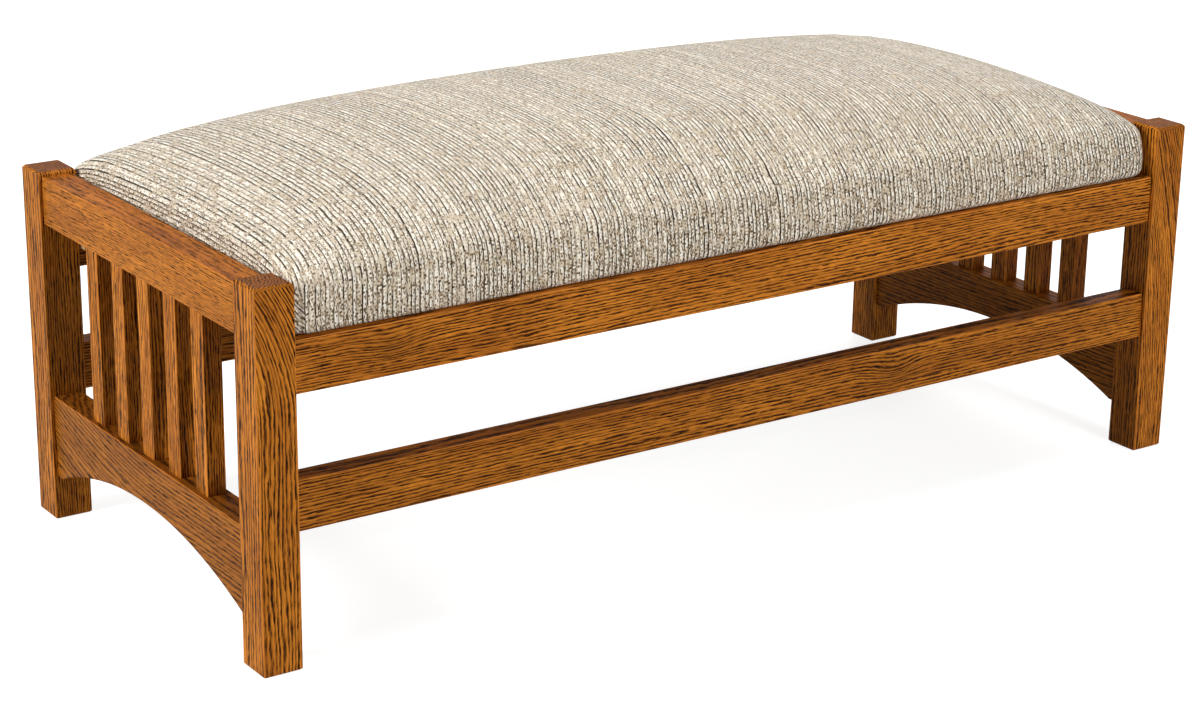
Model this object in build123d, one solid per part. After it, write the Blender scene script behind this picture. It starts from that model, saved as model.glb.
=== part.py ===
from build123d import *
import math
import os

os.makedirs("parts", exist_ok=True)

# Mission bench in oak with an upholstered seat. Lengths in millimetres.
# X runs along the bench, the front is at -Y, and the feet stand on Z = 0.
bench_length = 1250.0
bench_depth = 549.0

# Posts: square legs, chamfered on top, with every long edge eased
post_width = 44.5
post_height = 409.0
post_top_chamfer = 2.6
post_foot_chamfer = 1.6
post_edge_radius = 1.2

# Mortise and tenon joints between the rails and the posts
tenon_thickness = 12.0
tenon_length = 26.0
tenon_shoulder = 7.0
joint_clearance = 0.05
mortise_relief = 1.5

# End frames: a top rail and an arched rail, both on the centre line of the posts
top_rail_drop = 5.5
top_rail_height = 53.5
top_rail_thickness = 36.0
arched_rail_top = 148.0
arched_rail_height = 97.0
arched_rail_thickness = 34.0
arch_rise = 44.5
arch_flat = 10.0
rail_edge_radius = 1.5

# Slats, let into both rails of an end frame
slat_count = 5
slat_width = 26.5
slat_thickness = 21.5
slat_pitch = 62.4
slat_tenon_length = 12.0
slat_shoulder = 2.5
slat_edge_radius = 0.9

# Side rails: the upper pair carries the seat, the lower pair ties the end frames
side_rail_thickness = 29.0
side_rail_setback = 6.4
upper_rail_top = 348.0
upper_rail_height = 56.0
lower_rail_bottom = 147.0
lower_rail_height = 55.0

# Seat cleats, screwed inside the upper rails and flush with their tops
cleat_thickness = 19.0
cleat_height = 32.0
cleat_end_gap = 2.0
cleat_edge_radius = 1.0

# Countersunk wood screws: some fix the cleats, the others the seat
screw_radius = 2.1
screw_head_radius = 4.2
screw_head_height = 2.6
screw_tip_height = 4.0
screw_clearance = 0.1
cleat_screw_length = 37.0
cleat_screw_count = 5
cleat_screw_inset = 40.0
seat_screw_length = 44.0
seat_screw_count = 4
seat_screw_inset = 105.0

# Seat: a plywood board, a crowned foam pad and a fabric cover stapled underneath
seat_end_gap = 8.0
seat_setback = 8.0
seat_side_height = 54.0
seat_shoulder_run = 55.0
seat_shoulder_height = 34.0
seat_crown_rise = 41.5
seat_end_crown = 2.5
seat_end_shoulder = 5.0
seat_corner_radius = 16.0
seat_draw_in = 5.0
cover_thickness = 1.2
cover_return = 45.0
board_thickness = 15.0
board_corner_radius = 12.0
board_edge_gap = 1.5
dust_cover_thickness = 0.6
dust_cover_gap = 2.0
dust_cover_inset = 12.0

# How the crown falls away, as exponents along and across the seat
crown_power_along = 3.3
crown_power_across = 2.7

# Where the seat's sections are drawn: shares of its half length, then of the run of its end's shoulder
crown_station_shares = [0.0, 0.2, 0.38, 0.54, 0.68, 0.8]
shoulder_station_shares = [0.0, 0.26, 0.5, 0.71, 0.87, 0.97, 1.0]
side_swell_share = 0.8

# One overrun serves every cut that has to pass a face
overrun = 2.0

# Places that follow from the sizes above
half_length = bench_length / 2
half_depth = bench_depth / 2
post_centre_x = half_length - post_width / 2
post_centre_y = half_depth - post_width / 2
inner_x = half_length - post_width
inner_y = half_depth - post_width
top_rail_top = post_height - top_rail_drop
top_rail_bottom = top_rail_top - top_rail_height
arched_rail_bottom = arched_rail_top - arched_rail_height
side_rail_outer = half_depth - side_rail_setback
side_rail_centre = side_rail_outer - side_rail_thickness / 2
side_rail_inner = side_rail_outer - side_rail_thickness
upper_rail_bottom = upper_rail_top - upper_rail_height
lower_rail_top = lower_rail_bottom + lower_rail_height
cleat_inner = side_rail_inner - cleat_thickness
cleat_centre = side_rail_inner - cleat_thickness / 2
cleat_bottom = upper_rail_top - cleat_height
cleat_half_length = inner_x - cleat_end_gap
seat_half_length = post_centre_x - top_rail_thickness / 2 - seat_end_gap
seat_half_depth = side_rail_outer - seat_setback
seat_bottom = upper_rail_top


def block(low, high):
    """A box between two opposite corners."""
    size = [b - a for a, b in zip(low, high)]
    middle = [(a + b) / 2 for a, b in zip(low, high)]
    return Pos(*middle) * Box(*size)


def long_edges(solid, axis):
    return solid.edges().filter_by(axis)


def end_tenon(low_z, high_z, gap=0, depth=tenon_length):
    """Tenon of an end rail in the post at +X +Y, or its mortise when it is given a gap."""
    reach = tenon_thickness / 2 + gap
    low = (post_centre_x - reach, inner_y - overrun, low_z + tenon_shoulder - gap)
    high = (post_centre_x + reach, inner_y + depth, high_z - tenon_shoulder + gap)
    return block(low, high)


def side_tenon(low_z, high_z, gap=0, depth=tenon_length):
    """Tenon of a side rail in the post at +X +Y, or its mortise when it is given a gap."""
    reach = tenon_thickness / 2 + gap
    low = (inner_x - overrun, side_rail_centre - reach, low_z + tenon_shoulder - gap)
    high = (inner_x + depth, side_rail_centre + reach, high_z - tenon_shoulder + gap)
    return block(low, high)


def post_section(height, inset=0):
    """Outline of the post at a height, drawn in on all sides for a chamfer."""
    side = post_width - 2 * inset
    radius = post_edge_radius * side / post_width
    return Pos(post_centre_x, post_centre_y, height) * RectangleRounded(side, side, radius)


def make_post():
    """The post at +X +Y with its four mortises."""
    shoulder = post_height - post_top_chamfer
    post = loft([post_section(0, post_foot_chamfer), post_section(post_foot_chamfer)], ruled=True)
    post += extrude(post_section(post_foot_chamfer), shoulder - post_foot_chamfer)
    post += loft([post_section(shoulder), post_section(post_height, post_top_chamfer)], ruled=True)
    depth = tenon_length + mortise_relief
    post -= end_tenon(top_rail_bottom, top_rail_top, joint_clearance, depth)
    post -= end_tenon(arched_rail_bottom, arched_rail_top, joint_clearance, depth)
    post -= side_tenon(upper_rail_bottom, upper_rail_top, joint_clearance, depth)
    post -= side_tenon(lower_rail_bottom, lower_rail_top, joint_clearance, depth)
    return post


def both_ways(shape, plane):
    return shape + mirror(shape, about=plane)


def slat_places():
    return [(index - (slat_count - 1) / 2) * slat_pitch for index in range(slat_count)]


def slat_tongue(place_y, low_z, high_z, gap=0):
    """Tongue of a slat, which runs through both shoulders, or the mortise for it."""
    reach_x = slat_thickness / 2 - slat_shoulder + gap
    reach_y = slat_width / 2 - slat_shoulder + gap
    low = (post_centre_x - reach_x, place_y - reach_y, low_z)
    high = (post_centre_x + reach_x, place_y + reach_y, high_z)
    return block(low, high)


def make_slat(place_y):
    reach_x = slat_thickness / 2
    reach_y = slat_width / 2
    low = (post_centre_x - reach_x, place_y - reach_y, arched_rail_top)
    high = (post_centre_x + reach_x, place_y + reach_y, top_rail_bottom)
    slat = fillet(long_edges(block(low, high), Axis.Z), slat_edge_radius)
    tongue = slat_tongue(place_y, arched_rail_top - slat_tenon_length, top_rail_bottom + slat_tenon_length)
    return slat + tongue


def make_top_rail():
    """Top rail of the right end frame, mortised underneath for the slats."""
    reach = top_rail_thickness / 2
    low = (post_centre_x - reach, -inner_y, top_rail_bottom)
    high = (post_centre_x + reach, inner_y, top_rail_top)
    rail = fillet(long_edges(block(low, high), Axis.Y), rail_edge_radius)
    rail += both_ways(end_tenon(top_rail_bottom, top_rail_top), Plane.XZ)
    top = top_rail_bottom + slat_tenon_length + mortise_relief
    for place_y in slat_places():
        rail -= slat_tongue(place_y, top_rail_bottom - overrun, top, joint_clearance)
    return rail


def make_arched_rail():
    """Lower rail of the right end frame: a shallow arch is cut from its underside."""
    reach = arched_rail_thickness / 2
    low = (post_centre_x - reach, -inner_y, arched_rail_bottom)
    high = (post_centre_x + reach, inner_y, arched_rail_top)
    half_chord = inner_y - arch_flat
    arch_radius = (half_chord ** 2 + arch_rise ** 2) / (2 * arch_rise)
    centre_z = arched_rail_bottom + arch_rise - arch_radius
    length = arched_rail_thickness + 2 * overrun
    arch = Pos(post_centre_x, 0, centre_z) * Rot(0, 90, 0) * Cylinder(arch_radius, length)
    rail = block(low, high) - arch
    edges = rail.edges().filter_by(Axis.X, reverse=True)
    between_posts = inner_y - arch_flat / 4
    rail = fillet(edges.filter_by_position(Axis.Y, -between_posts, between_posts), rail_edge_radius)
    rail += both_ways(end_tenon(arched_rail_bottom, arched_rail_top), Plane.XZ)
    bottom = arched_rail_top - slat_tenon_length - mortise_relief
    for place_y in slat_places():
        rail -= slat_tongue(place_y, bottom, arched_rail_top + overrun, joint_clearance)
    return rail


def spread(count, reach):
    """Evenly spaced places from -reach to +reach."""
    step = 2 * reach / (count - 1)
    return [-reach + step * index for index in range(count)]


def make_screw(length, gap=0):
    """A countersunk screw with its head at the origin and its tip up +Z, or the hole for it."""
    head = screw_head_radius + gap
    shank = screw_radius + gap
    taper_start = length - screw_tip_height + gap
    profile = Polyline((0, 0), (head, 0), (shank, screw_head_height), (shank, taper_start),
                       (0, length + gap), close=True)
    return revolve(make_face(Plane.XZ * profile), Axis.Z)


def cleat_screws(gap=0):
    """Screws through the back cleat into the back rail."""
    reach = cleat_half_length - cleat_screw_inset
    height = upper_rail_top - cleat_height / 2
    screw = make_screw(cleat_screw_length, gap)
    return [Pos(x, cleat_inner, height) * Rot(-90, 0, 0) * screw for x in spread(cleat_screw_count, reach)]


def seat_screws(gap=0):
    """Screws up through the back cleat into the seat board."""
    reach = cleat_half_length - seat_screw_inset
    screw = make_screw(seat_screw_length, gap)
    return [Pos(x, cleat_centre, cleat_bottom) * screw for x in spread(seat_screw_count, reach)]


def make_side_rail(bottom, top):
    """A side rail at the back, tenoned at both ends."""
    low = (-inner_x, side_rail_inner, bottom)
    high = (inner_x, side_rail_outer, top)
    rail = fillet(long_edges(block(low, high), Axis.X), rail_edge_radius)
    return rail + both_ways(side_tenon(bottom, top), Plane.YZ)


def make_cleat():
    low = (-cleat_half_length, cleat_inner, cleat_bottom)
    high = (cleat_half_length, side_rail_inner, upper_rail_top)
    cleat = fillet(long_edges(block(low, high), Axis.X), cleat_edge_radius)
    for hole in cleat_screws(screw_clearance) + seat_screws(screw_clearance):
        cleat -= hole
    return cleat


def seat_stations():
    """Places along half the seat where its section is drawn, closer together on the end's shoulder."""
    places = [share * seat_half_length for share in crown_station_shares]
    start = seat_half_length - seat_shoulder_run
    return places + [start + seat_shoulder_run * share for share in shoulder_station_shares]


def seat_section(place, inset):
    """Section of the seat across its width: drawn-in sides, round shoulders and a crown."""
    along = min(abs(place) / seat_half_length, 1)
    into_end = max(0, abs(place) - seat_half_length + seat_shoulder_run) / seat_shoulder_run
    into_corner = max(0, abs(place) - seat_half_length + seat_corner_radius) / seat_corner_radius
    crown = seat_end_crown + (seat_crown_rise - seat_end_crown) * (1 - along ** crown_power_along)
    end_fall = math.sqrt(max(0, 1 - into_end ** 2))
    shoulder = seat_end_shoulder + (seat_shoulder_height - seat_end_shoulder) * end_fall
    corner_fall = math.sqrt(max(0, 1 - into_corner ** 2))
    half = seat_half_depth - inset - seat_corner_radius * (1 - corner_fall)
    side_top = seat_bottom + seat_side_height
    crown_start = half - seat_shoulder_run
    crown_share = 1 - (crown_start / half) ** crown_power_across
    edge_top = side_top + shoulder + crown * crown_share - inset
    crown_top = side_top + shoulder + crown - inset
    base = seat_bottom + inset
    foot = half - seat_draw_in
    diagonal = math.sqrt(0.5)
    shoulder_y = crown_start + seat_shoulder_run * diagonal
    shoulder_z = side_top + (edge_top - side_top) * diagonal
    swell_y = foot + seat_draw_in * side_swell_share
    swell_z = (base + side_top) / 2
    outline = [
        Line((-foot, base), (foot, base)),
        ThreePointArc((foot, base), (swell_y, swell_z), (half, side_top)),
        ThreePointArc((half, side_top), (shoulder_y, shoulder_z), (crown_start, edge_top)),
        ThreePointArc((crown_start, edge_top), (0, crown_top), (-crown_start, edge_top)),
        ThreePointArc((-crown_start, edge_top), (-shoulder_y, shoulder_z), (-half, side_top)),
        ThreePointArc((-half, side_top), (-swell_y, swell_z), (-foot, base)),
    ]
    origin = (place * (1 - inset / seat_half_length), 0, 0)
    return Plane(origin=origin, x_dir=(0, 1, 0), z_dir=(1, 0, 0)) * make_face(outline)


def seat_form(inset):
    """The crowned seat, or the space inside it at a distance from its skin."""
    half = seat_stations()
    places = [-place for place in reversed(half[1:])] + half
    return loft([seat_section(place, inset) for place in places], ruled=True)


def seat_plate(half_x, half_y, low_z, high_z, radius):
    plate = block((-half_x, -half_y, low_z), (half_x, half_y, high_z))
    return fillet(long_edges(plate, Axis.Z), radius)


def make_seat():
    """Board, foam, fabric cover and the dust cover underneath."""
    base = seat_bottom + cover_thickness
    top = base + board_thickness
    edge = seat_draw_in + cover_thickness + board_edge_gap
    board = seat_plate(seat_half_length - edge, seat_half_depth - edge, base, top, board_corner_radius)
    filling = seat_form(cover_thickness)
    foam = filling - board
    opening = seat_plate(seat_half_length - cover_return, seat_half_depth - cover_return,
                         seat_bottom - overrun, base, board_corner_radius)
    cover = seat_form(0) - filling - opening
    for hole in seat_screws(screw_clearance):
        for side_hole in (hole, mirror(hole, about=Plane.XZ)):
            board -= side_hole
            cover -= side_hole
    dust_cover = seat_plate(seat_half_length - dust_cover_inset, cleat_inner - dust_cover_gap,
                            seat_bottom - dust_cover_thickness, seat_bottom, board_corner_radius)
    return {"seat_board": board, "seat_foam": foam, "seat_cover": cover, "seat_dust_cover": dust_cover}


# The frame, made once at the back right and mirrored to the other sides
pieces = {}
post = make_post()
pieces["post_back_right"] = post
pieces["post_back_left"] = mirror(post, about=Plane.YZ)
pieces["post_front_right"] = mirror(post, about=Plane.XZ)
pieces["post_front_left"] = mirror(pieces["post_front_right"], about=Plane.YZ)

end_pieces = {"end_top_rail": make_top_rail(), "end_arched_rail": make_arched_rail()}
for number, place in enumerate(slat_places(), start=1):
    end_pieces[f"end_slat_{number}"] = make_slat(place)
for name, shape in end_pieces.items():
    pieces[f"{name}_right"] = shape
    pieces[f"{name}_left"] = mirror(shape, about=Plane.YZ)

upper_rail = make_side_rail(upper_rail_bottom, upper_rail_top)
for hole in cleat_screws(screw_clearance):
    upper_rail -= hole
side_pieces = {
    "side_rail_upper": upper_rail,
    "side_rail_lower": make_side_rail(lower_rail_bottom, lower_rail_top),
    "seat_cleat": make_cleat(),
}
for name, shape in side_pieces.items():
    pieces[f"{name}_back"] = shape
    pieces[f"{name}_front"] = mirror(shape, about=Plane.XZ)

# The screws, each kind as one group of separate solids
for name, screws in (("cleat_screws", cleat_screws()), ("seat_screws", seat_screws())):
    pieces[name] = Compound(screws + [mirror(screw, about=Plane.XZ) for screw in screws])

pieces.update(make_seat())

for name, shape in pieces.items():
    export_step(shape, f"parts/{name}.step")
print(len(pieces), "pieces")
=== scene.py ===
import math
import random
import bmesh
import bpy
from mathutils import Matrix, Vector, noise


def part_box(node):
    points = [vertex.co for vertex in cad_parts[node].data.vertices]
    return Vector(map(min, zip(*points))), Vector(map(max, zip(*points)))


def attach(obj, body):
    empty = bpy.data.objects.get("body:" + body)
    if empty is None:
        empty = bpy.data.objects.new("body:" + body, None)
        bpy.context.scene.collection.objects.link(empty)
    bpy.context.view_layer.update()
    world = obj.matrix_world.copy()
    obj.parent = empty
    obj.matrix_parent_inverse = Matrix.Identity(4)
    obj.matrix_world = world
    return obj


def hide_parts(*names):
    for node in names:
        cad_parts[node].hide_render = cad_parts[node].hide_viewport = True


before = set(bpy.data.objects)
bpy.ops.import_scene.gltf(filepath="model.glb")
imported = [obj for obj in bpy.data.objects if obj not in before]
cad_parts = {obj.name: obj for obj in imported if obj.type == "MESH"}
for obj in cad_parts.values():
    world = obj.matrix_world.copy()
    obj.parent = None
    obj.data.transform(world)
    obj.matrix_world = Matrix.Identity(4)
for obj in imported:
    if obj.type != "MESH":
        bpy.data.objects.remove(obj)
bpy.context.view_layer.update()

print("frame loaded:", len(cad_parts), "nodes")
mm = 0.001


# helpers that every piece and finish uses

def colour(hexCode):
    # an sRGB hex value as the linear colour that a shader wants
    channels = [int(hexCode[i:i + 2], 16) / 255 for i in (1, 3, 5)]
    return [c / 12.92 if c < 0.04045 else ((c + 0.055) / 1.055) ** 2.4 for c in channels] + [1]


def addNode(tree, kind, inputs, out=0, stops=(), **settings):
    # adds a node, sets it up, links or fills its inputs, and gives one of its outputs
    # stops are a colour ramp's places with their colours or grey values
    node = tree.nodes.new("ShaderNode" + kind)
    for name, value in settings.items():
        setattr(node, name, value)
    for name, value in inputs.items():
        if isinstance(value, bpy.types.NodeSocket):
            tree.links.new(value, node.inputs[name])
        else:
            node.inputs[name].default_value = value
    for number, (place, value) in enumerate(stops):
        if number > 1:
            node.color_ramp.elements.new(place)
        element = node.color_ramp.elements[number]
        element.position = place
        element.color = colour(value) if isinstance(value, str) else [value, value, value, 1]
    return node.outputs[out]


def newMaterial(name, **sockets):
    # a material with its shader's plain values set on the shader itself
    material = bpy.data.materials.new(name)
    material.use_nodes = True
    shader = material.node_tree.nodes["Principled BSDF"]
    for socket, value in sockets.items():
        shader.inputs[socket.replace("_", " ")].default_value = value
    return material, material.node_tree, shader


def dress(piece, material):
    piece.data.materials.clear()
    piece.data.materials.append(material)


def makePiece(name, bm, material):
    # turns a bmesh into a smooth piece that rides on the bench
    mesh = bpy.data.meshes.new(name)
    bm.to_mesh(mesh)
    bm.free()
    mesh.polygons.foreach_set("use_smooth", [True] * len(mesh.polygons))
    mesh.materials.append(material)
    piece = bpy.data.objects.new(name, mesh)
    bpy.context.scene.collection.objects.link(piece)
    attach(piece, "root")
    return piece


# stained oak: open-pored timber under a warm brown stain and a satin varnish
# the stain sinks into the porous earlywood and leaves ragged dark lines and dashes,
# with orange latewood between them

oak = {
    "latewood": "#D8852B", "middle": "#B4691F", "earlywood": "#381804", "pore": "#1C0C03",
    "endGrain": "#3A2314", "upperShadeTint": "#E2D6D4", "arrisHighlightAndWear": "#E08A3C",
    "roughness": 0.4, "poreRoughness": 0.2, "gloss": 0.03, "coat": 0.02,
    "grooveDepth": 0.28 * mm, "grooveStrength": 0.7,
    # each noise's width across the grain, its length along it and its detail
    # real pores are a third as wide: these are drawn coarser to show
    "noises": {
        "wave": (45 * mm, 420 * mm, 1.0), "uneven": (9 * mm, 260 * mm, 1.0),
        "ragged": (4.5 * mm, 26 * mm, 2.0), "torn": (1.5 * mm, 8 * mm, 1.0),
        "broken": (3.2 * mm, 24 * mm, 2.0), "fibre": (0.7 * mm, 18 * mm, 1.0),
        "cloud": (28 * mm, 170 * mm, 2.0), "pores": (1.0 * mm, 12 * mm, 2.0),
    },
    "logPlaces": (1, 5),   # how far along its log a board may have been cut, in metres
    # how far the first four noises bend the rings
    "reach": {"wave": 7 * mm, "uneven": 3 * mm, "ragged": 1.5 * mm, "torn": 0.7 * mm},
    # how dark a ring is, from its earlywood through its latewood to the next one's earlywood
    "ringShades": [(0.0, 1.0), (0.3, 1.0), (0.5, 0.25), (0.72, 0.0), (0.92, 0.1), (1.0, 1.0)],
    # where the noise breaks a dark line, and how much of the line stays there
    "breaks": (0.34, 0.56), "brokenLine": 0.35,
    # where the noise makes pores, and how strong they are in the pale wood and in the dark lines
    "poreShades": [(0.42, 1.0), (0.5, 0.0)], "poreStrengths": (0.2, 0.95),
    "clouds": (0.3, 0.68), "fibres": (0.3, 0.7), "fibreTones": (0.84, 1.14), "knotTone": 0.72,
    # how squarely a face must look along the grain, or up, to be tinted, and how strongly it is; the tint on
    # upward faces is painted shade
    "endFacing": (0.8, 0.95), "endStrength": 0.4, "upperShadeFacing": (0.7, 0.95), "upperShadeStrength": 0.9,
    # a painted highlight along the arrises, and stain rubbed thin there by handling, fully in the width
    # divided by the fade
    "highlightAndWearWidth": 1.3 * mm, "highlightAndWearFade": 3, "highlightAndWear": 0.55,
}

# bare hardwood of the hidden cleats and the seat board's plywood face: planed, pale and dull
bareWood = dict(oak, latewood="#D9B88C", middle="#CBA273", earlywood="#B08558", pore="#8E6940",
                endGrain="#A67F54", upperShadeTint="#FFFFFF", roughness=0.7, coat=0.0, highlightAndWear=0.0)

# how a board was cut: the direction in degrees and the distance of the log's heart, its ring width,
# how its grain sweeps aside past a place, and where it has a knot, along it and across it
plainCut = {
    "heart": 30, "heartAway": 110 * mm, "ring": 3.1 * mm, "runOut": 0.5,
    "sweep": 0.0, "sweepFrom": 0.0, "sweepSkin": 0.0,
    "knot": (9.0, 0.0, 0.0), "knotSize": (34 * mm, 15 * mm), "knotReach": 0.0,
    "lines": 0.95, "tone": 1.0,
}


def woodMaterial(name, look, node, grain, seed, **ownCut):
    cut = dict(plainCut, **ownCut)
    material, tree, shader = newMaterial(name, Coat_Weight=look["coat"], Specular_IOR_Level=look["gloss"])
    rng = random.Random(seed)
    low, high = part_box(node)
    here = addNode(tree, "TexCoord", {}, "Object")
    centred = addNode(tree, "VectorMath", {0: here, 1: (low + high) / 2}, operation="SUBTRACT")
    parts = addNode(tree, "SeparateXYZ", {0: centred}).node.outputs
    axes = {"X": ("Y", "Z", "X"), "Y": ("Z", "X", "Y"), "Z": ("X", "Y", "Z")}[grain]
    along = addNode(tree, "CombineXYZ", {i: parts[axis] for i, axis in enumerate(axes)})

    # the grain sweeps aside past a place, ever more, and flows round a knot
    past = addNode(tree, "Math", {0: parts[grain], 1: cut["sweepFrom"]}, operation="SUBTRACT")
    past = addNode(tree, "Math", {0: past, 1: 0.0}, operation="MAXIMUM")
    past = addNode(tree, "Math", {0: past, 1: past}, operation="MULTIPLY")
    if cut["sweepSkin"]:   # the sweep shows on the board's front face alone
        face = (low.y - high.y) / 2
        skin = addNode(tree, "MapRange", {"Value": parts["Y"], "From Min": face,
                                          "From Max": face + cut["sweepSkin"], "To Min": 1.0, "To Max": 0.0})
        past = addNode(tree, "Math", {0: past, 1: skin}, operation="MULTIPLY")
    swept = addNode(tree, "Math", {0: past, 1: cut["sweep"]}, operation="MULTIPLY")
    knotAlong, knotX, knotY = cut["knot"]
    knotLength, knotWidth = cut["knotSize"]
    toKnot = addNode(tree, "VectorMath", {0: along, 1: (knotX, knotY, knotAlong)}, operation="SUBTRACT")
    toKnot = addNode(tree, "VectorMath", {0: toKnot, 1: (1 / knotWidth, 1 / knotWidth, 1 / knotLength)},
                     operation="MULTIPLY")
    toKnot = addNode(tree, "VectorMath", {0: toKnot, 1: toKnot}, "Value", operation="DOT_PRODUCT")
    knot = addNode(tree, "Math", {0: math.exp(-1), 1: toKnot}, operation="POWER")
    pushed = addNode(tree, "Math", {0: knot, 1: cut["knotReach"]}, operation="MULTIPLY")
    aside = addNode(tree, "CombineXYZ", {0: swept, 1: pushed})
    along = addNode(tree, "VectorMath", {0: along, 1: aside}, operation="ADD")
    heart = math.radians(cut["heart"])
    logPlace = rng.uniform(*look["logPlaces"])
    shift = (cut["heartAway"] * math.cos(heart), cut["heartAway"] * math.sin(heart), logPlace)
    tilt = [math.radians(rng.uniform(-1, 1) * cut["runOut"]) for _ in range(2)] + [0]
    board = addNode(tree, "Mapping", {"Vector": along, "Location": shift, "Rotation": tilt})
    field = {}
    for noiseName, (width, length, detail) in look["noises"].items():
        drawn = addNode(tree, "VectorMath", {0: board, 1: (1 / width, 1 / width, 1 / length)},
                        operation="MULTIPLY")
        field[noiseName] = addNode(tree, "TexNoise", {"Vector": drawn, "Scale": 1.0, "Detail": detail}, "Fac")

    # growth rings round the heart, bent by the noises
    across = addNode(tree, "VectorMath", {0: board, 1: (1, 1, 0)}, operation="MULTIPLY")
    radius = addNode(tree, "VectorMath", {0: across}, "Value", operation="LENGTH")
    for noiseName, reach in look["reach"].items():
        bend = addNode(tree, "MapRange", {"Value": field[noiseName], "To Min": -reach, "To Max": reach})
        radius = addNode(tree, "Math", {0: radius, 1: bend}, operation="ADD")
    rings = addNode(tree, "Math", {0: radius, 1: cut["ring"]}, operation="DIVIDE")
    ringPlace = addNode(tree, "Math", {0: rings}, operation="FRACT")
    ringDark = addNode(tree, "ValToRGB", {0: ringPlace}, stops=look["ringShades"])
    gone, whole = look["breaks"]
    broken = addNode(tree, "MapRange", {"Value": field["broken"], "From Min": gone, "From Max": whole,
                                        "To Min": look["brokenLine"]})
    lines = addNode(tree, "Math", {0: ringDark, 1: broken}, operation="MULTIPLY")
    pores = addNode(tree, "ValToRGB", {0: field["pores"]}, stops=look["poreShades"])
    weak, strong = look["poreStrengths"]
    crowd = addNode(tree, "MapRange", {"Value": lines, "To Min": weak, "To Max": strong})
    pores = addNode(tree, "Math", {0: pores, 1: crowd}, operation="MULTIPLY")

    # the stain: a clouded ground, dark lines, pores, fine fibres and a darker knot
    cloudStops = zip(look["clouds"], (look["middle"], look["latewood"]))
    ground = addNode(tree, "ValToRGB", {0: field["cloud"]}, stops=cloudStops)
    lineShare = addNode(tree, "Math", {0: lines, 1: cut["lines"]}, operation="MULTIPLY")
    stain = addNode(tree, "Mix", {0: lineShare, 6: ground, 7: colour(look["earlywood"])}, 2, data_type="RGBA")
    stain = addNode(tree, "Mix", {0: pores, 6: stain, 7: colour(look["pore"])}, 2, data_type="RGBA")
    first, last = look["fibres"]
    dark, pale = look["fibreTones"]
    value = addNode(tree, "MapRange", {"Value": field["fibre"], "From Min": first, "From Max": last,
                                       "To Min": dark * cut["tone"], "To Max": pale * cut["tone"]})
    knotShade = addNode(tree, "MapRange", {"Value": knot, "To Min": 1.0, "To Max": look["knotTone"]})
    value = addNode(tree, "Math", {0: value, 1: knotShade}, operation="MULTIPLY")
    stain = addNode(tree, "HueSaturation", {"Color": stain, "Value": value})

    # end grain drinks the stain, and the upper faces are painted redder and darker, a painted shade on the
    # tops
    facing = addNode(tree, "SeparateXYZ", {0: addNode(tree, "TexCoord", {}, "Normal")}).node.outputs
    turned = addNode(tree, "Math", {0: facing[grain]}, operation="ABSOLUTE")
    first, last = look["endFacing"]
    endFace = addNode(tree, "MapRange", {"Value": turned, "From Min": first, "From Max": last,
                                         "To Max": look["endStrength"]})
    stain = addNode(tree, "Mix", {0: endFace, 6: stain, 7: colour(look["endGrain"])}, 2, data_type="RGBA")
    # painted shade: faces that look up are multiplied darker by the upper tint
    first, last = look["upperShadeFacing"]
    paintedUpperShade = addNode(tree, "MapRange", {"Value": facing["Z"], "From Min": first, "From Max": last,
                                       "To Max": look["upperShadeStrength"]})
    stain = addNode(tree, "Mix", {0: paintedUpperShade, 6: stain, 7: colour(look["upperShadeTint"])}, 2,
                    data_type="RGBA", blend_type="MULTIPLY")

    # along an arris the colour is painted lighter: a painted highlight, and stain rubbed thin
    # of the distances to the box's three pairs of faces, the middle one counts
    outward = []
    for axis, length in zip("XYZ", high - low):
        away = addNode(tree, "Math", {0: parts[axis]}, operation="ABSOLUTE")
        outward.append(addNode(tree, "Math", {0: away, 1: length / 2}, operation="SUBTRACT"))
    nearer = addNode(tree, "Math", {0: outward[0], 1: outward[1]}, operation="MINIMUM")
    farther = addNode(tree, "Math", {0: outward[0], 1: outward[1]}, operation="MAXIMUM")
    middle = addNode(tree, "Math", {0: farther, 1: outward[2]}, operation="MINIMUM")
    middle = addNode(tree, "Math", {0: middle, 1: nearer}, operation="MAXIMUM")
    highlitAndWorn = addNode(tree, "MapRange", {"Value": middle, "From Min": -look["highlightAndWearWidth"],
                                      "From Max": -look["highlightAndWearWidth"] / look["highlightAndWearFade"],
                                      "To Max": look["highlightAndWear"]})
    stain = addNode(tree, "Mix", {0: highlitAndWorn, 6: stain, 7: colour(look["arrisHighlightAndWear"])}, 2, data_type="RGBA")
    tree.links.new(stain, shader.inputs["Base Color"])

    rough = addNode(tree, "MapRange", {"Value": pores, "To Min": look["roughness"],
                                       "To Max": look["roughness"] + look["poreRoughness"]})
    tree.links.new(rough, shader.inputs["Roughness"])
    grooves = addNode(tree, "Math", {0: pores, 1: lines}, operation="ADD")
    bump = addNode(tree, "Bump", {"Height": grooves, "Distance": look["grooveDepth"],
                                  "Strength": look["grooveStrength"]}, invert=True)
    tree.links.new(bump, shader.inputs["Normal"])
    return material


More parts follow.
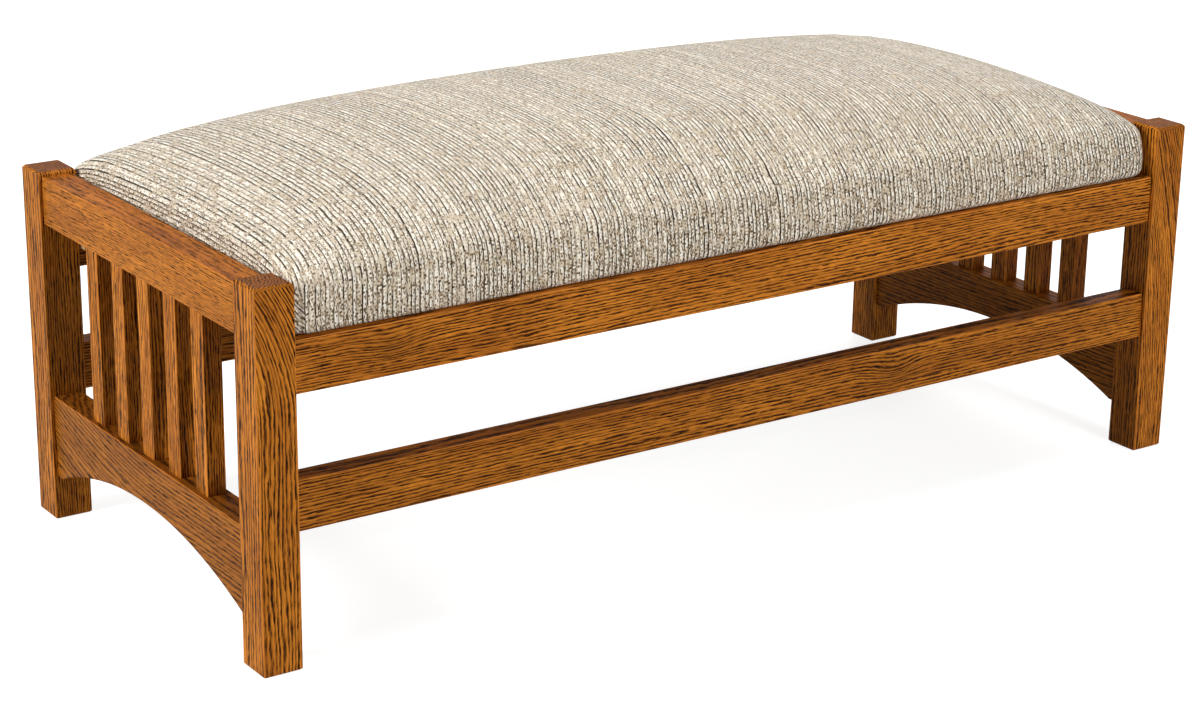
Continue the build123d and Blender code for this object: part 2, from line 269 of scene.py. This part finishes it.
# each board of stained oak: its grain's axis and what is special about its cut
boards = {
    "post_front_left": ("Z", dict(heart=-30, ring=3.5 * mm, sweepFrom=60 * mm, sweep=2.2, sweepSkin=2 * mm)),
    "post_back_left": ("Z", dict(heart=25, ring=3.0 * mm, tone=0.95)),
    "post_front_right": ("Z", dict(heart=35, tone=1.05, sweepFrom=-200 * mm, sweep=0.4, sweepSkin=2 * mm)),
    "post_back_right": ("Z", dict(heart=40, tone=0.95)),
    "end_top_rail_left": ("Y", dict(heart=20, ring=2.3 * mm, lines=0.6, tone=0.95)),
    "end_top_rail_right": ("Y", dict(heart=30, lines=0.6)),
    "end_arched_rail_left": ("Y", dict(heart=35, ring=4.8 * mm, sweep=-0.6, sweepFrom=-50 * mm, lines=0.7,
                                       tone=0.68)),
    "end_arched_rail_right": ("Y", dict(heart=40, ring=4.2 * mm, lines=0.8, tone=0.8)),
    "side_rail_upper_front": ("X", dict(heart=62, ring=3.3 * mm, knot=(-470 * mm, -14 * mm, 4 * mm),
                                        knotReach=6 * mm)),
    "side_rail_upper_back": ("X", dict(heart=55)),
    "side_rail_lower_front": ("X", dict(heart=68, ring=3.6 * mm, knot=(190 * mm, -14 * mm, 2 * mm),
                                        knotReach=9 * mm, tone=0.84)),
    "side_rail_lower_back": ("X", dict(heart=50)),
}

# the slats' cuts are drawn at random between these, their rings in millimetres
slatCuts = {"heart": (15, 45), "ring": (2.2, 3.4), "tone": (1.04, 1.22)}
rng = random.Random(60)
for side in ("left", "right"):
    for number in range(1, 6):
        heart, ring, tone = [rng.uniform(*between) for between in slatCuts.values()]
        boards[f"end_slat_{number}_{side}"] = ("Z", dict(heart=heart, ring=ring * mm, tone=tone))
for seed, (node, (grain, cut)) in enumerate(boards.items()):
    dress(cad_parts[node], woodMaterial(f"stainedOak_{node}", oak, node, grain, seed, **cut))
for seed, node in enumerate(("seat_cleat_front", "seat_cleat_back", "seat_board"), start=90):
    dress(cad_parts[node], woodMaterial(f"bareWood_{node}", bareWood, node, "X", seed))
print("wood dressed:", len(boards), "boards of stained oak")


# zinc-plated steel of the wood screws and staples: cool grey, with the plating's faint blotches

steel = {
    "dull": "#A9A8A2", "bright": "#C9C8C3", "roughness": (0.28, 0.5),
    "blotchSize": 2.5 * mm, "blotchDetail": 3.0, "blotches": (0.3, 0.7),
}


def steelMaterial():
    material, tree, shader = newMaterial("zincPlatedSteel", Metallic=1.0)
    here = addNode(tree, "TexCoord", {}, "Object")
    blotch = addNode(tree, "TexNoise", {"Vector": here, "Scale": 1 / steel["blotchSize"],
                                        "Detail": steel["blotchDetail"]}, "Fac")
    platingStops = zip(steel["blotches"], (steel["dull"], steel["bright"]))
    plating = addNode(tree, "ValToRGB", {0: blotch}, stops=platingStops)
    tree.links.new(plating, shader.inputs["Base Color"])
    smooth, rough = steel["roughness"]
    dulled = addNode(tree, "MapRange", {"Value": blotch, "To Min": smooth, "To Max": rough})
    tree.links.new(dulled, shader.inputs["Roughness"])
    return material


zinc = steelMaterial()
for node in ("cleat_screws", "seat_screws"):
    dress(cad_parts[node], zinc)
print("screws dressed in zinc-plated steel")


# chenille weave: thick cream ribs with slubs, and dark threads that come and go between them
# it scatters light softly and has no shine

weave = {
    "cream": "#FFFAF0", "oatmeal": "#DCCFBC", "taupe": "#7F715C", "brown": "#2E2114",
    "roughness": 0.95, "gloss": 0.1, "sheen": 0.12, "sheenRoughness": 0.45,
    "ribWidth": 5.4 * mm, "ribHeight": 0.9 * mm, "bumpStrength": 0.9,
    # a rib's profile across it, from one gap to the next
    "ribShape": [(0.0, 0.0), (0.16, 0.0), (0.27, 1.0), (0.46, 1.0), (0.58, 0.84), (0.84, 0.8), (0.97, 0.0)],
    # two drifts shift the ribs sideways: each one's width, length and reach
    "drifts": ((13 * mm, 700 * mm, 3.6 * mm), (7 * mm, 16 * mm, 0.45 * mm)), "driftDetail": 1.0,
    # the yarn pales in slubs, and the dark threads between the ribs fade in places, though never quite
    "slubLength": 14 * mm, "slubs": (0.38, 0.55), "yarnDetail": 2.0,
    "breakLength": 14 * mm, "breaks": (0.4, 0.5), "leastThread": 0.12,
    "yarnApart": 7.31,     # how far one rib's yarn lies from the next one's in the noise
    # a thread's colour follows which rib it lies beside and that rib's own random value
    "secondRib": 0.8, "ownRib": 0.6,
    "threads": ((0.0, "brown"), (0.44, "brown"), (0.5, "taupe"), (0.72, "taupe"), (0.8, "oatmeal")),
    # single threads that show as flecks: real ones are half as wide, these are drawn coarser to show
    "fleck": (1.2 * mm, 2.4 * mm), "fleckHeight": 0.5,
    "fleckTones": [(0.0, "#6C5B45"), (0.1, "#7A6852"), (0.14, "#BAA88F"), (0.28, "#C8B9A3"),
                   (0.34, "#F6F0E6"), (1.0, "#FFFFFF")],
    "pickWidth": 3.6 * mm, "pickHeight": 0.18, "pickTone": 0.12,
    # the upright sides are painted darker, a painted shade: there the flecks and picks show in full and shift
    # darker, while the top shows only part of them
    "shadedSideFacing": (0.95, 0.1), "sideShadeTone": -0.06, "topFleckShare": 0.8,
}


def weaveMaterial():
    material, tree, shader = newMaterial(
        "oatmealChenille", Roughness=weave["roughness"], Specular_IOR_Level=weave["gloss"],
        Sheen_Weight=weave["sheen"], Sheen_Roughness=weave["sheenRoughness"])
    cloth = addNode(tree, "UVMap", {}, uv_map="cloth")
    parts = addNode(tree, "SeparateXYZ", {0: cloth}).node.outputs
    facing = addNode(tree, "SeparateXYZ", {0: addNode(tree, "TexCoord", {}, "Normal")}).node.outputs
    # painted shade: a mask that is 0 on top and 1 on the upright sides
    up, aside = weave["shadedSideFacing"]
    shadedSides = addNode(tree, "MapRange", {"Value": facing["Z"], "From Min": up, "From Max": aside})
    rib = parts["X"]
    for width, length, reach in weave["drifts"]:
        drawn = addNode(tree, "VectorMath", {0: cloth, 1: (1 / width, 1 / length, 0)}, operation="MULTIPLY")
        drift = addNode(tree, "TexNoise", {"Vector": drawn, "Scale": 1.0,
                                            "Detail": weave["driftDetail"]}, "Fac")
        drift = addNode(tree, "MapRange", {"Value": drift, "To Min": -reach, "To Max": reach})
        rib = addNode(tree, "Math", {0: rib, 1: drift}, operation="ADD")
    rib = addNode(tree, "Math", {0: rib, 1: weave["ribWidth"]}, operation="DIVIDE")
    ribNumber = addNode(tree, "Math", {0: rib}, operation="FLOOR")
    ribPlace = addNode(tree, "Math", {0: rib}, operation="FRACT")
    ribTop = addNode(tree, "ValToRGB", {0: ribPlace}, stops=weave["ribShape"])

    # each rib has its own yarn, which pales in slubs
    perRib = addNode(tree, "TexWhiteNoise", {"W": ribNumber}, "Value", noise_dimensions="1D")
    ownPlace = addNode(tree, "Math", {0: ribNumber, 1: weave["yarnApart"]}, operation="MULTIPLY")
    noises = {}
    for noiseName in ("slub", "break"):
        down = addNode(tree, "Math", {0: parts["Y"], 1: weave[noiseName + "Length"]}, operation="DIVIDE")
        place = addNode(tree, "CombineXYZ", {0: ownPlace, 1: down})
        noises[noiseName] = addNode(tree, "TexNoise", {"Vector": place, "Scale": 1.0,
                                                       "Detail": weave["yarnDetail"]}, "Fac")
    slubStops = zip(weave["slubs"], (weave["oatmeal"], weave["cream"]))
    yarn = addNode(tree, "ValToRGB", {0: noises["slub"]}, stops=slubStops)

    # between the ribs lie brown, taupe or oatmeal threads, mostly a dark one beside every second rib
    # they come and go along it
    second = addNode(tree, "Math", {0: ribNumber, 1: 1 / 2}, operation="MULTIPLY")
    second = addNode(tree, "Math", {0: second}, operation="FRACT")
    thread = addNode(tree, "MapRange", {"Value": perRib, "To Max": weave["ownRib"]})
    thread = addNode(tree, "Math", {0: second, 1: weave["secondRib"], 2: thread}, operation="MULTIPLY_ADD")
    threadStops = [(place, weave[yarnName]) for place, yarnName in weave["threads"]]
    gap = addNode(tree, "ValToRGB", {0: thread}, stops=threadStops)
    gone, whole = weave["breaks"]
    comes = addNode(tree, "MapRange", {"Value": noises["break"], "From Min": gone, "From Max": whole,
                                       "To Min": weave["leastThread"]})
    gap = addNode(tree, "Mix", {0: comes, 6: colour(weave["oatmeal"]), 7: gap}, 2, data_type="RGBA")
    surface = addNode(tree, "Mix", {0: ribTop, 6: gap, 7: yarn}, 2, data_type="RGBA")

    # single threads come up pale or dark, and picks cross the ribs; on the upright sides both show more and
    # darker, which is painted shade
    wide, tall = weave["fleck"]
    cell = addNode(tree, "VectorMath", {0: cloth, 1: (1 / wide, 1 / tall, 0)}, operation="MULTIPLY")
    cell = addNode(tree, "VectorMath", {0: cell}, operation="FLOOR")
    fleck = addNode(tree, "TexWhiteNoise", {"Vector": cell}, "Value", noise_dimensions="3D")
    pick = addNode(tree, "Math", {0: parts["Y"], 1: 2 * math.pi / weave["pickWidth"]}, operation="MULTIPLY")
    pick = addNode(tree, "Math", {0: ribNumber, 1: math.pi, 2: pick}, operation="MULTIPLY_ADD")
    pick = addNode(tree, "Math", {0: pick}, operation="SINE")
    lift = addNode(tree, "Math", {0: pick, 1: weave["pickTone"], 2: fleck}, operation="MULTIPLY_ADD")
    sideShade = addNode(tree, "MapRange", {"Value": shadedSides, "To Min": 0.0, "To Max": weave["sideShadeTone"]})
    lift = addNode(tree, "Math", {0: lift, 1: sideShade}, operation="ADD")
    fleckTone = addNode(tree, "ValToRGB", {0: lift}, stops=weave["fleckTones"])
    fleckShare = addNode(tree, "MapRange", {"Value": shadedSides, "To Min": weave["topFleckShare"], "To Max": 1.0})
    surface = addNode(tree, "Mix", {0: fleckShare, 6: surface, 7: fleckTone}, 2,
                      data_type="RGBA", blend_type="MULTIPLY")
    tree.links.new(surface, shader.inputs["Base Color"])

    height = addNode(tree, "Math", {0: pick, 1: weave["pickHeight"], 2: ribTop}, operation="MULTIPLY_ADD")
    height = addNode(tree, "Math", {0: fleck, 1: weave["fleckHeight"], 2: height}, operation="MULTIPLY_ADD")
    bump = addNode(tree, "Bump", {"Height": height, "Distance": weave["ribHeight"],
                                  "Strength": weave["bumpStrength"]})
    tree.links.new(bump, shader.inputs["Normal"])
    return material


# the seat: one cloth pulled over a crowned pad, folded at the corners and tucked in under it

seat = {
    "columns": 160, "rows": 76, "sideLevels": 9, "tuckLevels": 5, "curveSamples": 4000,
    "standOff": 0.2 * mm, "cornerRadius": 17 * mm, "cornerShare": 0.6, "merge": 0.02 * mm,
    # the crown: where it starts above the rails, its rise at the ends, and its roundness along and across
    "sideHeight": 45 * mm, "endRise": 16.5 * mm,
    "alongPower": 3.3, "alongRoot": 0.42, "acrossPower": 8.0, "acrossBow": 0.25,
    # how far the ends and the long sides swell out, how far down they are fullest, and the tuck below
    "endSpread": 2.7 * mm, "sideSpread": 3.8 * mm, "fullestAt": 0.65, "tuckRadius": 9 * mm,
    # under the pad lies a hem, and above it the cloth closes in a few steps, out of sight
    "hem": 42 * mm, "hemLevel": 0.3 * mm, "closing": (0.6, 0.25, 0.0), "closingLevel": 1.0 * mm,
    # a fold runs down each long side beside each corner, at its full depth from a third of the way down
    "foldAway": 12 * mm, "foldDepth": 1.8 * mm, "foldWidth": 2.2 * mm, "foldStep": 1.0 * mm,
    "foldSharpness": 1.6, "foldGrowth": 3, "foldColumns": (-1.0, -0.5, 0.0, 0.5, 1.0), "seamSlack": 0.1 * mm,
    # small unevenness on top, and pulls in the sides, which take their noise from a row of their own
    "unevenness": 0.9 * mm, "unevenSpacing": 130 * mm,
    "pullReach": 0.9 * mm, "pullSpacing": 38 * mm, "pullMean": 0.5, "longRow": 5, "endRow": 9,
    # the swelling: how small the cloth starts, where up the side it comes free, and its stiffness
    "slack": 3 * mm, "looseFrom": (0.3, 0.7), "pressure": 5.0, "frames": 20, "quality": 6,
    "stretchStiffness": 20, "shearStiffness": 8, "bendStiffness": 1.0,
    "mostSwell": 9 * mm, "leastLevel": 0.1 * mm,
    "fill": 0.9,
}


def evenPlaces(profile, reach, count, extra=()):
    # places from the middle to the edge, evenly spaced along a curve, with a few of their own added
    samples = seat["curveSamples"]
    points = [Vector((reach * i / samples, profile(i / samples))) for i in range(samples + 1)]
    lengths = [0.0]
    for a, b in zip(points, points[1:]):
        lengths.append(lengths[-1] + (b - a).length)
    places, index = [], 0
    for step in range(count + 1):
        while index < samples and lengths[index] < lengths[-1] * step / count:
            index += 1
        places.append(points[index].x)
    places = sorted(places + list(extra))
    return [-place for place in reversed(places[1:])] + places


def measureCloth(line, layer):
    # how much cloth lies between the middle of a row of points and each of them
    middle = len(line) // 2
    line[middle][layer] = 0.0
    for step in (1, -1):
        here = middle
        while 0 <= here + step < len(line):
            length = (line[here + step].co - line[here].co).length
            line[here + step][layer] = line[here][layer] + step * length
            here += step


def plump(piece):
    # the cloth starts a little small and is blown up from inside, with its lower sides and its tuck held
    mesh = piece.data
    before = [v.co.copy() for v in mesh.vertices]
    held = piece.vertex_groups.new(name="held")
    low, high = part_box("seat_cover")
    crown = high.z - low.z
    firm, free = seat["looseFrom"]
    for v in mesh.vertices:
        height = (v.co.z - low.z) / crown
        loose = min(max((height - firm) / (free - firm), 0.0), 1.0)
        loose = loose * loose * (3 - 2 * loose)
        held.add([v.index], 1 - loose, "REPLACE")
        v.co -= v.normal * seat["slack"] * loose
    pad = piece.modifiers.new("pad", "CLOTH")
    pad.settings.vertex_group_mass = "held"
    pad.settings.quality = seat["quality"]
    pad.settings.tension_stiffness = pad.settings.compression_stiffness = seat["stretchStiffness"]
    pad.settings.shear_stiffness = seat["shearStiffness"]
    pad.settings.bending_stiffness = seat["bendStiffness"]
    pad.settings.use_pressure = True
    pad.settings.uniform_pressure_force = seat["pressure"]
    pad.settings.effector_weights.gravity = 0
    pad.collision_settings.use_collision = pad.collision_settings.use_self_collision = False
    pad.point_cache.frame_start, pad.point_cache.frame_end = 1, seat["frames"]
    scene = bpy.context.scene
    for number in range(1, seat["frames"] + 1):
        scene.frame_set(number)
    blown = piece.evaluated_get(bpy.context.evaluated_depsgraph_get())
    after = [v.co.copy() for v in blown.to_mesh().vertices]
    blown.to_mesh_clear()
    piece.modifiers.remove(pad)
    scene.frame_set(1)
    most = 0.0
    for v, old, new in zip(mesh.vertices, before, after):
        swell = new - old
        if swell.length > seat["mostSwell"]:
            swell *= seat["mostSwell"] / swell.length
        most = max(most, swell.length)
        v.co = old + swell
        v.co.z = max(v.co.z, low.z + seat["leastLevel"])
    mesh.update()
    print("cushion blown up: moves", round(most / mm, 1), "mm at most")


def makeCushion(material):
    low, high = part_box("seat_cover")
    halfX, halfY = high.x - seat["standOff"], high.y - seat["standOff"]
    edgeZ = low.z + seat["sideHeight"]
    rise = high.z - seat["standOff"] - edgeZ
    foldX = halfX - seat["foldAway"]
    radius = seat["cornerRadius"]

    def crownAlong(share):
        fall = max(0.0, 1 - share ** seat["alongPower"]) ** seat["alongRoot"]
        return seat["endRise"] + (rise - seat["endRise"]) * fall

    def crownAcross(share):
        shoulder = math.sqrt(max(0.0, 1 - share ** seat["acrossPower"]))
        return seat["acrossBow"] * (1 - share ** 2) + (1 - seat["acrossBow"]) * shoulder

    foldLines = [foldX + seat["foldWidth"] * k for k in seat["foldColumns"]]
    columns = evenPlaces(crownAlong, halfX, seat["columns"] // 2, foldLines)
    rows = evenPlaces(lambda share: rise * crownAcross(share), halfY, seat["rows"] // 2)

    # the top: a grid moved onto the crown, its corners rounded in plan
    bm = bmesh.new()
    clothX, clothY, drop = [bm.verts.layers.float.new(name) for name in ("clothX", "clothY", "drop")]
    bmesh.ops.create_grid(bm, x_segments=len(columns) - 1, y_segments=len(rows) - 1, size=1)
    grid = {}
    for v in bm.verts:
        column = round((v.co.x + 1) / 2 * (len(columns) - 1))
        row = round((v.co.y + 1) / 2 * (len(rows) - 1))
        grid[column, row] = v
        x, y = columns[column], rows[row]
        z = crownAlong(abs(x) / halfX) * crownAcross(abs(y) / halfY)
        uneven = noise.noise(Vector((x, y, 0)) / seat["unevenSpacing"]) * seat["unevenness"] * (z / rise)
        overX, overY = [max(0.0, abs(p) - (half - radius)) / radius for p, half in ((x, halfX), (y, halfY))]
        pulledX = radius * overX * (1 - math.sqrt(1 - overY ** 2 / 2))
        pulledY = radius * overY * (1 - math.sqrt(1 - overX ** 2 / 2))
        v.co = (x - math.copysign(pulledX, x), y - math.copysign(pulledY, y), edgeZ + z + min(uneven, 0.0))
    for row in range(len(rows)):
        measureCloth([grid[column, row] for column in range(len(columns))], clothX)
    for column in range(len(columns)):
        measureCloth([grid[column, row] for row in range(len(rows))], clothY)

    # the sides: the rim goes down and swells out, turns under the pad and closes beneath it
    def goDown(rim, place):
        made = bmesh.ops.extrude_edge_only(bm, edges=rim)["geom"]
        for v in [g for g in made if isinstance(g, bmesh.types.BMVert)]:
            before = v.co.copy()
            place(v)
            v[drop] += (v.co - before).length
        return [g for g in made if isinstance(g, bmesh.types.BMEdge) and g.is_boundary]

    rim = [e for e in bm.edges if e.is_boundary]
    start = {}
    topFaces = set(bm.faces)
    key = bm.verts.layers.int.new("key")
    for number, v in enumerate({v for e in rim for v in e.verts}):
        v[key] = number
        start[number] = v.co.copy()

    def pullInward(spot, share):
        # how far the cloth is pulled in at a spot of the sides' noise, more and more towards its foot
        return seat["pullReach"] * (seat["pullMean"] + noise.noise(Vector((*spot, share)))) * share ** 2

    def sidePlace(share):
        def place(v):
            top = start[v[key]]
            z = top.z + (low.z + seat["tuckRadius"] - top.z) * share
            bulge = math.sin(math.pi / 2 * min(share / seat["fullestAt"], 1.0))
            x = top.x * (1 + seat["endSpread"] * bulge / halfX)
            y = top.y * (1 + seat["sideSpread"] * bulge / halfY)
            onLongSide = abs(top.y) > halfY - radius * seat["cornerShare"]
            if onLongSide:
                away = (abs(top.x) - foldX) / seat["foldWidth"]
                groove = seat["foldDepth"] * math.exp(-(away * seat["foldSharpness"]) ** 2)
                step = seat["foldStep"] * min(max(away + 1 / 2, 0.0), 1.0)
                spot = (top.x / seat["pullSpacing"], math.copysign(seat["longRow"], top.y))
                inward = (groove + step) * min(share * seat["foldGrowth"], 1.0) + pullInward(spot, share)
                y -= math.copysign(inward, y)
            else:
                spot = (math.copysign(seat["endRow"], top.x), top.y / seat["pullSpacing"])
                x -= math.copysign(pullInward(spot, share), x)
            v.co = (x, y, z)
        return place

    def tuckPlace(turn):
        def place(v):
            sidePlace(1.0)(v)
            inset = seat["tuckRadius"] * (1 - math.cos(turn))
            v.co = (v.co.x * (1 - inset / halfX), v.co.y * (1 - inset / halfY),
                    low.z + seat["tuckRadius"] * (1 - math.sin(turn)))
        return place

    def hemPlace(v):
        x, y = v.co.x * (1 - seat["hem"] / halfX), v.co.y * (1 - seat["hem"] / halfY)
        v.co = (x, y, low.z + seat["hemLevel"])

    def closePlace(share):
        def place(v):
            v.co = (v.co.x * share, v.co.y * share, low.z + seat["closingLevel"])
        return place

    for level in range(1, seat["sideLevels"] + 1):
        rim = goDown(rim, sidePlace(level / seat["sideLevels"]))
    for level in range(1, seat["tuckLevels"] + 1):
        rim = goDown(rim, tuckPlace(math.pi / 2 * level / seat["tuckLevels"]))
    rim = goDown(rim, hemPlace)
    for share in seat["closing"]:
        rim = goDown(rim, closePlace(share))
    bmesh.ops.remove_doubles(bm, verts=bm.verts, dist=seat["merge"])
    bmesh.ops.recalc_face_normals(bm, faces=bm.faces)

    # the weave follows the cloth: over the top, down the long sides, and down the ends and round to the folds
    cloth = bm.loops.layers.uv.new("cloth")
    for face in bm.faces:
        middle = face.calc_center_median()
        onEnd = abs(middle.x) > foldX - seat["seamSlack"]
        for loop in face.loops:
            v = loop.vert
            if face in topFaces:
                place = (v[clothX], v[clothY])
            elif onEnd:
                place = (math.copysign(abs(v[clothX]) + v[drop], middle.x), v[clothY])
            else:
                place = (v[clothX], math.copysign(abs(v[clothY]) + v[drop], middle.y))
            loop[cloth].uv = place
    piece = makePiece("cushion", bm, material)
    plump(piece)
    finer = piece.modifiers.new("finer", "SUBSURF")
    finer.levels = finer.render_levels = 1
    finer.use_limit_surface = False
    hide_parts("seat_cover", "seat_foam")
    return piece


cushion = makeCushion(weaveMaterial())
print("cushion:", len(cushion.data.vertices), "points")


# black spun cloth under the seat keeps the dust in, held by a row of wire staples
# pressed fibres catch a faint grey fuzz and show a pattern of small pin-point welds

under = {
    "black": "#141416", "fuzz": "#2C2C30", "roughness": 0.9, "gloss": 0.2, "sheen": 0.15,
    "fuzzSize": 1.2 * mm, "fuzzDetail": 4.0, "fuzzShades": (0.35, 0.75),
    "weldSpacing": 1.6 * mm, "weldUneven": 0.1, "weldDepth": 0.1 * mm, "weldStrength": 0.5,
    "thick": 0.4 * mm, "cell": 30 * mm, "sag": 0.15 * mm, "sagMean": 0.5, "sagWaves": 6,   # waves per metre
    "stapleCrown": 12 * mm, "stapleWire": 0.7 * mm, "stapleLeg": 1.0 * mm, "stapleEdge": 0.12 * mm,
    "stapleSpacing": 42 * mm, "stapleInset": 9 * mm, "stapleSkew": 0.12,
}


def spunMaterial():
    material, tree, shader = newMaterial("blackSpunCloth", Roughness=under["roughness"],
                                         Specular_IOR_Level=under["gloss"], Sheen_Weight=under["sheen"])
    here = addNode(tree, "TexCoord", {}, "Object")
    fuzz = addNode(tree, "TexNoise", {"Vector": here, "Scale": 1 / under["fuzzSize"],
                                      "Detail": under["fuzzDetail"]}, "Fac")
    weld = addNode(tree, "TexVoronoi", {"Vector": here, "Scale": 1 / under["weldSpacing"],
                                        "Randomness": under["weldUneven"]}, "Distance")
    fuzzStops = zip(under["fuzzShades"], (under["black"], under["fuzz"]))
    tone = addNode(tree, "ValToRGB", {0: fuzz}, stops=fuzzStops)
    tree.links.new(tone, shader.inputs["Base Color"])
    bump = addNode(tree, "Bump", {"Height": weld, "Distance": under["weldDepth"],
                                  "Strength": under["weldStrength"]})
    tree.links.new(bump, shader.inputs["Normal"])
    return material


def makeDustCover(material):
    low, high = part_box("seat_dust_cover")
    size = high - low
    bm = bmesh.new()
    cellsX, cellsY = round(size.x / under["cell"]), round(size.y / under["cell"])
    bmesh.ops.create_grid(bm, x_segments=cellsX, y_segments=cellsY, size=0.5)
    bmesh.ops.scale(bm, vec=(size.x, size.y, 1), verts=bm.verts)
    for v in bm.verts:
        sag = under["sag"] * (under["sagMean"] + noise.noise(v.co * under["sagWaves"]))
        v.co.z = low.z + size.z / 2 - sag
    piece = makePiece("dustCover", bm, material)
    wall = piece.modifiers.new("thickness", "SOLIDIFY")
    wall.thickness, wall.offset = under["thick"], 0.0
    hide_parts("seat_dust_cover")


def makeStaples(material):
    # a wire staple every few centimetres round the cloth's edge
    low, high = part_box("seat_dust_cover")
    bm = bmesh.new()
    wire, crown, leg = under["stapleWire"], under["stapleCrown"], under["stapleLeg"]
    legX = crown / 2 - wire / 2
    bars = [((0, 0, -wire / 2), (crown, wire, wire)), ((legX, 0, leg / 2), (wire, wire, leg)),
            ((-legX, 0, leg / 2), (wire, wire, leg))]
    inset, skewed = under["stapleInset"], under["stapleSkew"]
    rng = random.Random(5)
    for length, offset, turn in ((high.x, high.y - inset, 0), (high.y, high.x - inset, math.pi / 2)):
        count = round(2 * (length - 2 * inset) / under["stapleSpacing"])
        for side in (-1, 1):
            for number in range(count + 1):
                along = (length - 2 * inset) * (2 * number / count - 1)
                skew = Matrix.Rotation(turn + rng.uniform(-skewed, skewed), 4, "Z")
                spot = Matrix.Rotation(turn, 4, "Z") @ Vector((along, side * offset, low.z))
                for middle, bar in bars:
                    bmesh.ops.create_cube(bm, size=1, matrix=Matrix.Translation(spot) @ skew
                                          @ Matrix.Translation(middle) @ Matrix.Diagonal((*bar, 1)))
    bmesh.ops.bevel(bm, geom=bm.edges, offset=under["stapleEdge"], segments=1, profile=0.5,
                    affect="EDGES", material=-1)
    makePiece("staples", bm, material)


makeDustCover(spunMaterial())
makeStaples(zinc)
print("underside: dust cover and staples")


# studio: a white floor, soft lamps from the left, the front, above and behind, and an even surround

studio = {
    "floorSize": 16.0, "floorColour": "#B8B8B6", "floorRoughness": 0.9, "surround": 0.11,
    # the floor glows less near the bench, where its shadow falls
    "floorGlow": 0.8, "shadeReach": (2.2, 4.5),
    "left": {"place": (-4.2, 0.3, 2.2), "size": 1.4, "power": 165},
    "front": {"place": (0.5, -4.6, 1.9), "size": 1.6, "power": 138},
    "top": {"place": (0.6, -0.2, 3.6), "size": 2.2, "power": 60},
    # lights the sides that the camera doesn't see
    "back": {"place": (3.4, 3.4, 1.9), "size": 1.8, "power": 105},
    "aim": (0.0, 0.0, 0.25),
    "eye": (-1.7958, -2.5556, 1.2128), "yaw": 0.6041, "pitch": 0.3282, "roll": 0.0137,
    "lens": 83.73, "sensor": 36,
}


def addLamp(name, place, size, power):
    lamp = bpy.data.lights.new(name, "AREA")
    lamp.shape, lamp.size, lamp.energy = "DISK", size, power
    holder = bpy.data.objects.new(name, lamp)
    holder.location = place
    holder.rotation_euler = (Vector(studio["aim"]) - Vector(place)).to_track_quat("-Z", "Y").to_euler()
    holder.visible_glossy = name != "backLight"     # it would glint on the rails' tops
    bpy.context.scene.collection.objects.link(holder)


def seesWhite(tree):
    # what the camera, a mirror or a glass looks at directly
    path = addNode(tree, "LightPath", {}, "Is Camera Ray").node.outputs
    seen = addNode(tree, "Math", {0: path["Is Camera Ray"], 1: path["Is Glossy Ray"]}, operation="MAXIMUM")
    return addNode(tree, "Math", {0: seen, 1: path["Is Transmission Ray"]}, operation="MAXIMUM")


def addSurround(scene):
    world = bpy.data.worlds.new("surround")
    scene.world = world
    world.use_nodes = True
    tree = world.node_tree
    strength = addNode(tree, "MapRange", {"Value": seesWhite(tree), "To Min": studio["surround"],
                                          "To Max": 1.0})
    tree.links.new(strength, tree.nodes["Background"].inputs["Strength"])
    tree.nodes["Background"].inputs["Color"].default_value = (1, 1, 1, 1)


def addFloor(scene):
    material, tree, shader = newMaterial("paleFloor", Roughness=studio["floorRoughness"],
                                         Specular_IOR_Level=0.0)
    shader.inputs["Base Color"].default_value = colour(studio["floorColour"])
    shader.inputs["Emission Color"].default_value = (1, 1, 1, 1)
    here = addNode(tree, "TexCoord", {}, "Object")
    away = addNode(tree, "VectorMath", {0: here}, "Value", operation="LENGTH")
    near, far = studio["shadeReach"]
    glow = addNode(tree, "MapRange", {"Value": away, "From Min": near, "From Max": far,
                                      "To Min": studio["floorGlow"], "To Max": 1.0})
    glow = addNode(tree, "Math", {0: seesWhite(tree), 1: glow}, operation="MULTIPLY")
    tree.links.new(glow, shader.inputs["Emission Strength"])
    bm = bmesh.new()
    bmesh.ops.create_grid(bm, x_segments=1, y_segments=1, size=studio["floorSize"] / 2)
    mesh = bpy.data.meshes.new("floor")
    bm.to_mesh(mesh)
    bm.free()
    mesh.materials.append(material)
    floor = bpy.data.objects.new("floor", mesh)
    scene.collection.objects.link(floor)


def addCamera(scene):
    yaw, pitch, roll = studio["yaw"], studio["pitch"], studio["roll"]
    ahead = Vector((math.sin(yaw) * math.cos(pitch), math.cos(yaw) * math.cos(pitch), -math.sin(pitch)))
    right = Vector((math.cos(yaw), -math.sin(yaw), 0))
    turn = Matrix.Rotation(-roll, 3, ahead)
    right, up = turn @ right, turn @ right.cross(ahead)
    camera = bpy.data.objects.new("camera", bpy.data.cameras.new("camera"))
    camera.data.lens, camera.data.sensor_width = studio["lens"], studio["sensor"]
    facing = Matrix((right, up, -ahead)).transposed().to_4x4()
    camera.matrix_world = Matrix.Translation(studio["eye"]) @ facing
    scene.collection.objects.link(camera)
    scene.camera = camera


def makeStudio():
    scene = bpy.context.scene
    for name in ("left", "front", "top", "back"):
        addLamp(name + "Light", **studio[name])
    addSurround(scene)
    addFloor(scene)
    addCamera(scene)
    scene.view_settings.view_transform = "Standard"


makeStudio()
print("studio ready")

bpy.context.view_layer.update()
